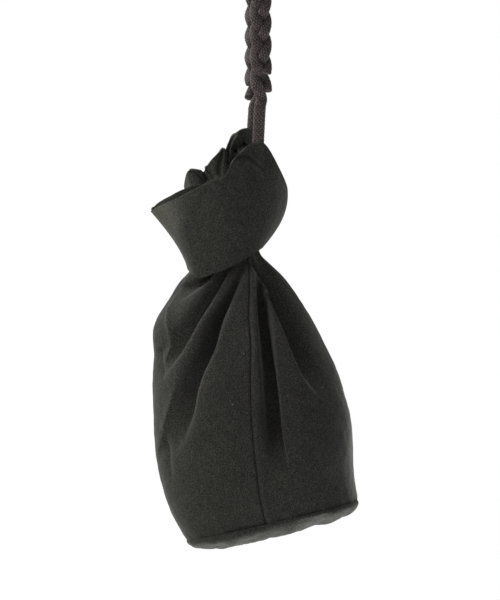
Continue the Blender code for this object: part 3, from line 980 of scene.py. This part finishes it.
@dataclass
class Knot:
    """The two ties: the front one wraps the neck, and the back one rises through it."""

    width: float = 0.0635
    depth: float = 0.064
    cloth: float = 0.0016
    inner_cloth: float = 0.0012
    neck_gap: float = 0.0008
    front_ease: float = 0.004
    front_slack: Waves = ((0.0009, 0.045, 31), (0.00015, 0.010, 32))
    back_slack: Waves = ((0.0005, 0.02, 33),)

    # How pale the nap is painted: a painted highlight on the wrap's left tip, painted light on the upper
    # back tie, and at top edges pale worn nap with a painted highlight.
    left_tip_highlight: float = 0.42
    # Painted light: the back tie is painted paler towards its top, where light falls.
    back_painted_light: float = 0.07
    # Pale worn nap with a painted highlight along the ties' top edges.
    edge_wear_and_highlight: float = 0.30

    # Lower edge, bow and upper edge of the front tie by column: across, up and depth.
    front_columns: tuple = (
        ((-0.485, -0.14, 0.00), (-0.53, 0.09, 0.00), (-0.94, 0.56, 0.00)),
        ((-0.43, -0.22, -0.66), (-0.52, 0.08, -0.56), (-0.82, 0.64, -0.34)),
        ((-0.32, -0.28, -0.93), (-0.45, 0.14, -0.94), (-0.62, 0.72, -0.74)),
        ((-0.14, -0.22, -1.03), (-0.26, 0.27, -1.15), (-0.38, 0.84, -0.98)),
        ((0.04, -0.15, -1.04), (0.01, 0.39, -1.28), (-0.17, 0.95, -1.06)),
        ((0.20, -0.07, -0.97), (0.22, 0.48, -1.26), (-0.02, 0.99, -1.03)),
        ((0.28, -0.02, -0.88), (0.36, 0.65, -1.22), (0.125, 1.24, -0.85)),
        ((0.33, 0.02, -0.80), (0.46, 0.65, -1.08), (0.32, 1.41, -0.70)),
        ((0.40, 0.06, -0.62), (0.62, 0.62, -0.90), (0.485, 1.415, -0.68)),
        ((0.45, 0.09, -0.36), (0.75, 0.56, -0.60), (0.655, 1.15, -0.50)),
        ((0.475, 0.12, 0.00), (0.81, 0.48, 0.00), (0.785, 0.83, -0.05)),
        ((0.42, 0.13, 0.55), (0.69, 0.43, 0.60), (0.67, 0.71, 0.60)),
        ((0.18, 0.08, 0.95), (0.25, 0.36, 1.10), (0.25, 0.66, 1.02)),
        ((-0.14, -0.02, 0.97), (-0.22, 0.26, 1.05), (-0.26, 0.63, 0.98)),
        ((-0.42, -0.11, 0.62), (-0.50, 0.13, 0.52), (-0.72, 0.60, 0.40)),
    )
    back_top: tuple = (
        (-0.525, 0.87, 0.20), (-0.495, 1.03, -0.16), (-0.45, 1.085, -0.28), (-0.38, 1.09, -0.30),
        (-0.31, 1.085, -0.26), (-0.275, 1.060, -0.22), (-0.245, 1.12, -0.22), (-0.17, 1.22, -0.36),
        (-0.08, 1.30, -0.42), (-0.02, 1.36, -0.34), (0.005, 1.345, -0.28), (0.03, 1.42, -0.28),
        (0.08, 1.50, -0.32), (0.16, 1.57, -0.38), (0.27, 1.61, -0.22), (0.41, 1.59, 0.15),
        (0.34, 1.56, 0.58), (-0.01, 1.31, 0.74), (-0.32, 1.04, 0.72), (-0.475, 0.88, 0.52),
    )
    back_creases: tuple[Crease, ...] = (
        # The fold across the left lobe, and the line where the middle lobe covers it.
        Crease(
            ((-0.46, 1.068), (-0.365, 1.036), (-0.287, 0.964), (-0.233, 0.923)),
            -0.0015, left=0.0026, right=0.0006, fade=0.12,
        ),
        Crease(
            ((-0.283, 1.087), (-0.258, 1.016), (-0.214, 0.942)),
            -0.0014, left=0.0009, right=0.0009, fade=0.12,
        ),
        Crease(
            ((-0.246, 1.124), (-0.195, 1.043), (-0.132, 0.961)),
            -0.0013, left=0.0014, right=0.0008, fade=0.12,
        ),
        # The middle lobe dips towards the tall one, which folds back on itself behind the cord.
        Crease(
            ((-0.028, 1.364), (-0.035, 1.225), (-0.054, 1.119), (-0.060, 0.986)),
            -0.0026, left=0.0007, right=0.0032, fade=0.12,
        ),
        Crease(
            ((0.132, 1.553), (0.076, 1.443), (0.039, 1.313), (0.037, 1.225), (0.039, 1.112)),
            -0.0016, left=0.0008, right=0.0010, fade=0.12,
        ),
        Crease(
            ((0.195, 1.572), (0.111, 1.457), (0.072, 1.352), (0.059, 1.250), (0.054, 1.150)),
            0.0016, left=0.0013, right=0.0008, fade=0.12,
        ),
        Crease(
            ((0.260, 1.430), (0.205, 1.400), (0.157, 1.360), (0.110, 1.290)),
            -0.0060, left=0.0020, right=0.0034, fade=0.1,
        ),
    )

    # The upper edge of the front tie's inner ply, which shows behind the outer one.
    inner_edge: tuple = (
        (-0.925, 0.585, 0.00), (-0.90, 0.625, -0.06), (-0.854, 0.668, -0.18), (-0.775, 0.715, -0.34),
        (-0.694, 0.755, -0.50), (-0.624, 0.793, -0.62), (-0.539, 0.832, -0.72), (-0.411, 0.875, -0.84),
        (-0.309, 0.90, -0.90),
    )
    creases: tuple[Crease, ...] = (
        # The edge where the tie turns away on the left, and the pinch below the cord.
        Crease(
            ((-0.85, 0.557), (-0.775, 0.444), (-0.694, 0.331), (-0.636, 0.217), (-0.573, 0.091),
             (-0.523, -0.028), (-0.472, -0.135)),
            0.0006, left=0.0016, right=0.0035,
        ),
        Crease(
            ((0.05, 1.10), (0.141, 1.206), (0.208, 1.244), (0.309, 1.238), (0.384, 1.187),
             (0.44, 1.13)),
            -0.0028, left=0.0010, right=0.0030, fade=0.4,
        ),
        Crease(
            ((0.16, 1.27), (0.24, 1.305), (0.32, 1.285), (0.40, 1.22)),
            0.0018, left=0.0020, right=0.0010,
        ),
        Crease(
            ((0.24, 1.19), (0.33, 1.175), (0.43, 1.09), (0.50, 0.99)),
            0.0016, left=0.0008, right=0.0020,
        ),
        Crease(
            ((-0.30, 0.72), (-0.12, 0.62), (0.05, 0.40), (0.10, 0.20)),
            0.0009, left=0.008, right=0.010,
        ),
        Crease(((0.60, 0.95), (0.52, 0.70), (0.48, 0.45)), -0.0007, left=0.005, right=0.006),
    )

    def place(self, units: Points) -> Points:
        """Turns (across, up, depth) in knot sizes to points."""
        scale = np.array([self.width, self.depth / 2, self.width])
        return np.array([NECK.x, 0.0, NECK.z]) + units[..., [0, 2, 1]] * scale

    def press_in(self, surface: Points, creases: Sequence[Crease], front: Values) -> None:
        """Adds creases to a tie's surface.

        Args:
            surface: The tie's points, which are moved.
            creases: The creases.
            front: How far each point faces the front, from 0 to 1.
        """
        across = (surface[:, 0] - NECK.x) / self.width
        height = (surface[:, 2] - NECK.z) / self.width
        for crease in creases:
            surface[:, 1] -= front * crease.lift(across, height, self.width)

    def top_edge_wear_and_highlight(self, up: Values) -> Values:
        """How pale a tie's top edge is painted: pale worn nap with a painted highlight."""
        return self.edge_wear_and_highlight * soft_step((up - 0.985) / 0.012)

    def front_surface(self, around: Values, up: Values) -> Points:
        """The front tie's outer face.

        Args:
            around: The share of the way around the neck.
            up: The share from its lower to its upper edge.

        Returns:
            A point for each pair.
        """
        columns = around * len(self.front_columns)
        lower, bow, upper = (
            self.place(smooth_line([column[row] for column in self.front_columns], columns, closed=True))
            for row in range(3)
        )
        up = up[:, None]
        return lower * (1 - up) ** 2 + bow * 2 * up * (1 - up) + upper * up**2

    def make_front_tie(self, material: Finish) -> Piece:
        """Makes the wide tie that wraps the neck, with the inner ply that shows behind it.

        Args:
            material: The cloth.

        Returns:
            The finished tie.
        """

        def place(around: Values, up: Values) -> Points:
            """The outer face with its slack and creases."""
            surface = self.front_surface(around, up)
            ripple = uneven(surface, self.front_slack)
            surface[:, 1] += ripple * soft_step(up * 8) * soft_step((1 - up) * 8)
            self.press_in(surface, self.creases, soft_step(-surface[:, 1] / self.front_ease))
            return surface

        def inner_ply(along: Values, up: Values) -> Points:
            """The strip of the inner ply that shows over the tie's left edge."""
            units = smooth_line(self.inner_edge, along * (len(self.inner_edge) - 1), closed=False)
            units[:, 1] -= (1 - up) * (0.01 + 0.15 * soft_step(along / 0.35))
            units[:, 2] += 0.06 * (1 - up) + 0.05
            return self.place(units)

        def wear_and_painted_light(around: Values, up: Values) -> Values:
            """How pale the nap is painted: a painted highlight towards the left tip, and pale worn nap
            with a painted highlight at the top edge.
            """
            share = (self.front_surface(around, up)[:, 0] - NECK.x) / self.width
            tip = self.left_tip_highlight * soft_step((-0.48 - share) / 0.36) * soft_step((up - 0.3) / 0.5)
            return np.maximum(tip, self.top_edge_wear_and_highlight(up))

        piece = new_sheet("front_tie_cloth", 300, 110, place, (0.26, 0.09), closed=True, mark=("wear_and_painted_light", wear_and_painted_light))
        finish_cloth(piece, self.cloth, material)
        ply = new_sheet("front_tie_inner_ply", 80, 12, inner_ply, (0.06, 0.01))
        finish_cloth(ply, self.inner_cloth, material)
        piece.select_set(True)
        bpy.context.view_layer.objects.active = piece
        bpy.ops.object.join()
        dress(piece, "bag_cloth", "front_tie")
        return piece

    def make_back_tie(self, body: Body, material: Finish) -> Piece:
        """Makes the gathered tie that rises out of the neck.

        Args:
            body: The body, whose neck the tie stands on.
            material: The cloth.

        Returns:
            The finished tie.
        """
        rim = body.section(np.array([0.0]))
        across = rim["across"][0]
        rise = np.array([-across[2], 0.0, across[0]])

        def place(around: Values, up: Values) -> Points:
            """The tie's surface, from the neck's edge up to its own top."""
            low = body.points(2 * math.pi * around, np.zeros_like(around)) + rise * self.neck_gap
            high = self.place(smooth_line(self.back_top, around * len(self.back_top), closed=True))
            surface = low + (high - low) * up[:, None]
            surface[:, 1] = low[:, 1] + (high[:, 1] - low[:, 1]) * soft_step(up)
            front = soft_step(around / 0.05) * soft_step((0.80 - around) / 0.05) * soft_step(up / 0.3)
            self.press_in(surface, self.back_creases, front)
            surface[:, 1] += front * uneven(surface, self.back_slack)
            return surface

        def wear_and_painted_light(around: Values, up: Values) -> Values:
            """How pale the nap is painted: painted light towards the top, and pale worn nap with a painted
            highlight at the top edge.
            """
            return self.back_painted_light * soft_step((up - 0.4) / 0.3) + self.top_edge_wear_and_highlight(up)

        piece = new_sheet("back_tie_cloth", 340, 90, place, (0.2, 0.08), closed=True, mark=("wear_and_painted_light", wear_and_painted_light))
        finish_cloth(piece, self.cloth, material)
        dress(piece, "bag_cloth", "back_tie")
        return piece

    def build(self, body: Body, material: Finish) -> None:
        """Makes both ties.

        Args:
            body: The body, whose neck the back tie stands on.
            material: The cloth.
        """
        self.make_front_tie(material)
        self.make_back_tie(body, material)


@dataclass
class Strap:
    """Three braided cords plaited flat, looped over the hook and sewn to both ties."""

    loop_radius: float = 0.035
    plait_width: float = 0.0175
    pitch: float = 0.0528
    strand_width: float = 0.0080
    strand_thickness: float = 0.0052
    wave: float = 0.0036
    cord_width: float = 0.0092
    cord_thickness: float = 0.0058
    girth: float = 2.4
    end_gap: float = 0.0003
    half_depth: float = 0.0068
    twist: float = 0.0018

    # The plain cord at each end: where it leaves its tie in knot sizes, how it leans, how
    # long it is below the plait and how deep it is sunk in the tie.
    front_mouth: tuple[float, float, float] = (0.41, 1.42, -0.69)
    back_mouth: tuple[float, float, float] = (0.34, 1.60, 0.05)
    front_lean: tuple[float, float] = (0.0022, -0.003)
    back_lean: tuple[float, float] = (0.0022, 0.005)
    front_cord: float = 0.039
    back_cord: float = 0.024
    sink: float = 0.0045

    # How far each cut cord starts or stops from the plait's end, and how softly it joins.
    left_start: float = 0.0140
    right_stop: float = 0.010
    settle: float = 0.012

    # The braid: its yarns around, the length of a turn, its relief, the height that lies at the
    # cord's own size, how its ends round off, and the mesh that shows it.
    yarns: int = 10
    yarn_pitch: float = 0.0082
    yarn_relief: float = 0.00040
    yarn_middle: float = 0.6
    end_round: float = 0.0012
    end_share: float = 0.35
    cord_sides: int = 44
    cord_step: float = 0.0005

    def middle_line(self) -> Points:
        """Draws the plait's middle line, from the front tie over the hook to the back tie.

        Returns:
            The line's points. The lengths of plain cord at both ends are kept too.
        """
        knot = Knot()
        front_end = knot.place(np.array(self.front_mouth))
        back_end = knot.place(np.array(self.back_mouth))
        front_end[2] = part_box("front_tie")[1][2] + self.end_gap
        back_end[2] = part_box("back_tie")[1][2] + self.end_gap
        loop_z = self.half_depth - self.loop_radius
        join_front = front_end + [*self.front_lean, self.front_cord]
        join_back = back_end + [*self.back_lean, self.back_cord]
        top_front = np.array([self.twist, -self.loop_radius, loop_z])
        top_back = np.array([-self.twist, self.loop_radius, loop_z])
        line = [front_end + [0.0, self.sink, -self.sink], (front_end + join_front) / 2, join_front]
        line += [join_front + (top_front - join_front) * share for share in (0.35, 0.7)]
        turns = 8
        for turn in range(turns + 1):
            angle = math.pi * turn / turns
            y, z = -self.loop_radius * math.cos(angle), loop_z + self.loop_radius * math.sin(angle)
            line.append(np.array([self.twist * math.cos(angle), y, z]))
        line += [top_back + (join_back - top_back) * share for share in (0.3, 0.65)]
        line += [join_back, (join_back + back_end) / 2, back_end + [0.0, 0.0, -self.sink]]
        self.front_join = float(np.linalg.norm(join_front - line[0]))
        self.back_run = float(np.linalg.norm(join_back - line[-1]))
        return smooth_line(line, np.linspace(0, len(line) - 1, 900), closed=False)

    def strand(self, phase: float, start: float, end: float) -> tuple[Points, Points, Values]:
        """Draws one cord's centreline in the plait.

        Args:
            phase: Where in the weave the cord begins, from 0 to 1.
            start: The length along the middle line where it starts.
            end: How far before the middle line's own end it ends, as 0 or a negative length.

        Returns:
            The centreline, the outward direction and how far it is woven at each point.
        """
        line = self.middle_line()
        lengths = run_of(line)
        back_join = lengths[-1] - self.back_run
        stop = lengths[-1] + end
        run = np.linspace(start, stop, round((stop - start) / self.cord_step))
        middle = read_line(line, lengths, run)
        outward = unit(np.cross([1.0, 0.0, 0.0], unit(np.gradient(middle, axis=0))))
        woven = soft_step((run - self.front_join + self.settle) / self.settle)
        woven = woven * soft_step((back_join + self.settle - run) / self.settle)
        turn = 2 * math.pi * ((run - self.front_join) / self.pitch + phase)
        sway = (self.plait_width - self.strand_width) / 2
        centre = middle + np.array([1.0, 0.0, 0.0]) * (sway * np.sin(turn) * woven)[:, None]
        centre = centre + outward * (self.wave * np.sin(2 * turn) * woven)[:, None]
        return centre, outward, woven

    def braid_height(self, around: Values, along: Values) -> Values:
        """Reads the braid's relief.

        Args:
            around: The share of the way around the cord.
            along: The length along it.

        Returns:
            The height of the yarns, from 0 in a gap to 1 on a crown.
        """
        first = self.yarns * around + along / self.yarn_pitch * self.yarns / 4
        second = self.yarns * around - along / self.yarn_pitch * self.yarns / 4
        rise_first = np.abs(np.sin(math.pi * first)) ** 0.7
        rise_second = np.abs(np.sin(math.pi * second)) ** 0.7
        crossing = np.sin(math.pi * (first + second)) * np.cos(math.pi * (first - second))
        over = 0.5 + 0.5 * np.tanh(3.0 * crossing)
        return np.clip(rise_first * over + rise_second * (1 - over), 0, 1)

    def make_cord(self, name: str, phase: float, start: float, end: float, material: Finish) -> Piece:
        """Makes one cord of the strap.

        Args:
            name: Which cord it is.
            phase: Where in the weave it begins.
            start: The length along the middle line where it starts.
            end: How far before the middle line's own end it ends, as 0 or a negative length.
            material: The cord.

        Returns:
            The finished cord.
        """
        centre, outward, woven = self.strand(phase, start, end)
        run = run_of(centre)
        total = float(run[-1])
        heading = unit(np.gradient(centre, axis=0))
        thin = unit(outward - heading * (outward * heading).sum(axis=1, keepdims=True))
        wide = np.cross(heading, thin)
        rows = len(centre) - 1

        def height(around: Values, up: Values) -> Values:
            """The braid's relief, also for the finish, which paints shade into its gaps."""
            return self.braid_height(np.mod(around, 1.0), run[np.rint(up * rows).astype(int)])

        def place(around: Values, up: Values) -> Points:
            """The cord's surface."""
            index = np.rint(up * rows).astype(int)
            angle = 2 * math.pi * np.mod(around, 1.0)
            blend = woven[index]
            width = self.cord_width + (self.strand_width - self.cord_width) * blend
            thick = self.cord_thickness + (self.strand_thickness - self.cord_thickness) * blend
            from_end = np.minimum(run[index], total - run[index])
            full = soft_step(from_end / self.end_round + self.end_share) / 2
            grow = (height(around, up) - self.yarn_middle) * self.yarn_relief
            across = wide[index] * ((width * full + grow) * np.cos(angle))[:, None]
            out = thin[index] * ((thick * full + grow) * np.sin(angle))[:, None]
            return centre[index] + across + out

        size = (self.cord_width * self.girth, total)
        mark = ("yarn_height", height)
        piece = new_sheet("strap_" + name, self.cord_sides, rows, place, size, mark=mark)
        bpy.ops.object.mode_set(mode="EDIT")
        bpy.ops.mesh.select_all(action="SELECT")
        bpy.ops.mesh.remove_doubles(threshold=1e-7)
        bpy.ops.mesh.select_all(action="DESELECT")
        bpy.ops.mesh.select_mode(type="EDGE")
        bpy.ops.mesh.select_non_manifold()
        bpy.ops.mesh.fill()
        bpy.ops.mesh.select_all(action="SELECT")
        bpy.ops.mesh.normals_make_consistent(inside=False)
        bpy.ops.object.mode_set(mode="OBJECT")
        bpy.ops.object.shade_smooth()
        piece.data.materials.clear()
        piece.data.materials.append(material)
        dress(piece, "strap_cord", "strap_cord_" + name)
        return piece

    def build(self, material: Finish) -> None:
        """Makes the three cords, each from its own place in the weave.

        Args:
            material: The cord.
        """
        self.middle_line()
        for name, phase, start, end in (
            ("main", 0.553, 0.0, 0.0),
            ("left", 0.887, self.front_join + self.left_start, -self.back_run),
            ("right", 0.22, self.front_join, -self.back_run - self.right_stop),
        ):
            self.make_cord(name, phase, start, end, material)


@dataclass
class Studio:
    """A plain pale floor, soft lamps and a level camera square on to the front seam."""

    distance: float = 4.0
    view_middle: tuple[float, float] = (-0.0064, -0.289)
    view_height: float = 0.480
    sensor: float = 36.0
    floor_drop: float = 1.15
    floor_size: float = 12.0
    fill_light: float = 0.32

    # Each lamp's name, place, width, power and tint.
    lamps: tuple = (
        ("key_lamp", (-2.1, -1.5, 0.1), 1.2, 27.0, "#fffdf8"),
        ("rim_lamp", (-1.4, 0.45, 1.2), 0.9, 50.0, "#ffffff"),
        ("right_rim_lamp", (1.3, 1.0, 0.9), 0.8, 12.0, "#ffffff"),
        ("low_lamp", (0.25, 0.16, -1.1), 0.6, 15.0, "#ffffff"),
    )
    lamp_aim: tuple[float, float, float] = (0.0, 0.0, -0.30)

    def add_camera(self) -> None:
        """Adds the camera, which takes in the photograph's frame of the bag."""
        deselect_all()
        x, z = self.view_middle
        bpy.ops.object.camera_add(location=(x, -self.distance, z), rotation=(math.pi / 2, 0.0, 0.0))
        camera = bpy.context.object
        camera.name = "camera"
        camera.data.sensor_fit = "VERTICAL"
        camera.data.sensor_height = self.sensor
        camera.data.lens = self.sensor * self.distance / self.view_height
        camera.data.clip_end = 50.0
        bpy.context.scene.camera = camera

    def add_lamp(self, name: str, place: Sequence[float], size: float, watts: float, tint: str) -> None:
        """Adds a soft square lamp that faces the bag.

        Args:
            name: The lamp's name.
            place: Where it stands.
            size: Its width.
            watts: Its power.
            tint: Its hex colour.
        """
        deselect_all()
        bpy.ops.object.light_add(type="AREA", location=place)
        lamp = bpy.context.object
        lamp.name = name
        lamp.data.shape = "SQUARE"
        lamp.data.size = size
        lamp.data.energy = watts
        lamp.data.color = linear(tint)[:3]
        aim = Vector(self.lamp_aim) - Vector(place)
        lamp.rotation_euler = aim.to_track_quat("-Z", "Y").to_euler()

    def add_floor(self) -> None:
        """Adds the floor, well below the hanging bag."""
        deselect_all()
        bpy.ops.mesh.primitive_plane_add(size=self.floor_size, location=(0.0, 0.0, -self.floor_drop))
        floor = bpy.context.object
        floor.name = "floor"
        material, tree, shader = new_finish("painted_floor")
        feed_node(tree, shader, {"Base Color": linear("#f4f4f2"), "Roughness": 0.9})
        floor.data.materials.append(material)

    def set_world(self) -> None:
        """Makes the background white to the eye, and a mild fill light to the bag."""
        world = bpy.data.worlds.new("studio")
        bpy.context.scene.world = world
        world.use_nodes = True
        tree = world.node_tree
        tree.nodes.clear()
        path = add_node(tree, "ShaderNodeLightPath")
        seen = path.outputs["Is Camera Ray"]
        for ray in ("Is Glossy Ray", "Is Transmission Ray"):
            feeds = {0: seen, 1: path.outputs[ray]}
            seen = add_node(tree, "ShaderNodeMath", feeds, operation="MAXIMUM").outputs[0]
        colour = linear("#ffffff")
        fill, white = (
            add_node(tree, "ShaderNodeBackground", {"Color": colour, "Strength": strength}).outputs[0]
            for strength in (self.fill_light, 1.0)
        )
        mix = add_node(tree, "ShaderNodeMixShader", {0: seen, 1: fill, 2: white})
        add_node(tree, "ShaderNodeOutputWorld", {"Surface": mix.outputs[0]})

    def build(self) -> None:
        """Sets up the whole studio."""
        bpy.context.scene.view_settings.view_transform = "Standard"
        self.set_world()
        self.add_floor()
        for lamp in self.lamps:
            self.add_lamp(*lamp)
        self.add_camera()


def main() -> None:
    """Builds the bag and the studio around it."""
    logging.basicConfig(level=logging.INFO, format="%(name)s %(message)s")
    cloth = NappedCotton().build()
    cord = BraidedCotton().build()
    body = Body()
    Studio().build()
    Strap().build(cord)
    body.build(cloth)
    Knot().build(body, cloth)


if __name__ == "__main__":
    main()
